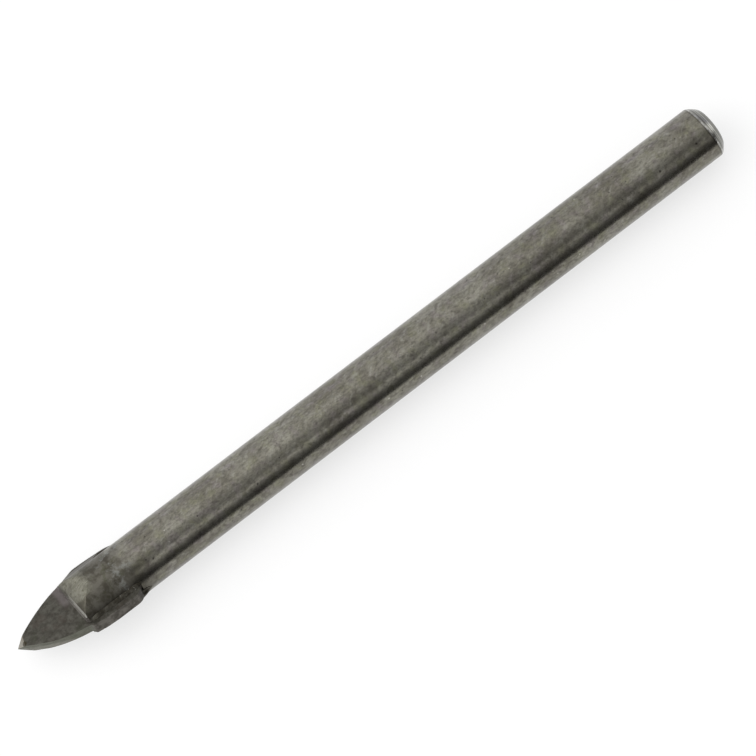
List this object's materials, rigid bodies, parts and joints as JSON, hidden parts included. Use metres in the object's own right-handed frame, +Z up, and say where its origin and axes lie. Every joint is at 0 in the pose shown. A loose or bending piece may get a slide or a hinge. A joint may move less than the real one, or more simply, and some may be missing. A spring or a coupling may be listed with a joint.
{
  "type": "glass and tile drill bit",
  "caption": "Straight round-shank drill bit with a flat spear-shaped carbide plate brazed into its slotted nose, for boring glass and ceramic tile.",
  "frame": {"origin": "bottom centre of the bit's bounding box, on the surface that the shank lies on", "axes": "+X along the bit's axis towards the shank's rear end, with the point at -X; +Y across the bit; +Z up from the surface that it lies on; the plate's upper face is tilted 27.5 degrees from +Z towards +Y"},
  "size_m": [0.069, 0.0058, 0.0047],
  "materials": {
    "shank_steel": "dull warm-grey mill finish with fine lengthwise grain, dark pits and heat-blotched nose",
    "sintered_carbide": "dark grey sintered carbide with lighter ground bevels",
    "braze_alloy": "dull uneven braze with grey-white flux specks"
  },
  "bodies": {
    "root": {"shank": "shank_steel", "carbide_tip": "sintered_carbide", "braze_seam": "braze_alloy"}
  },
  "joints": []
}
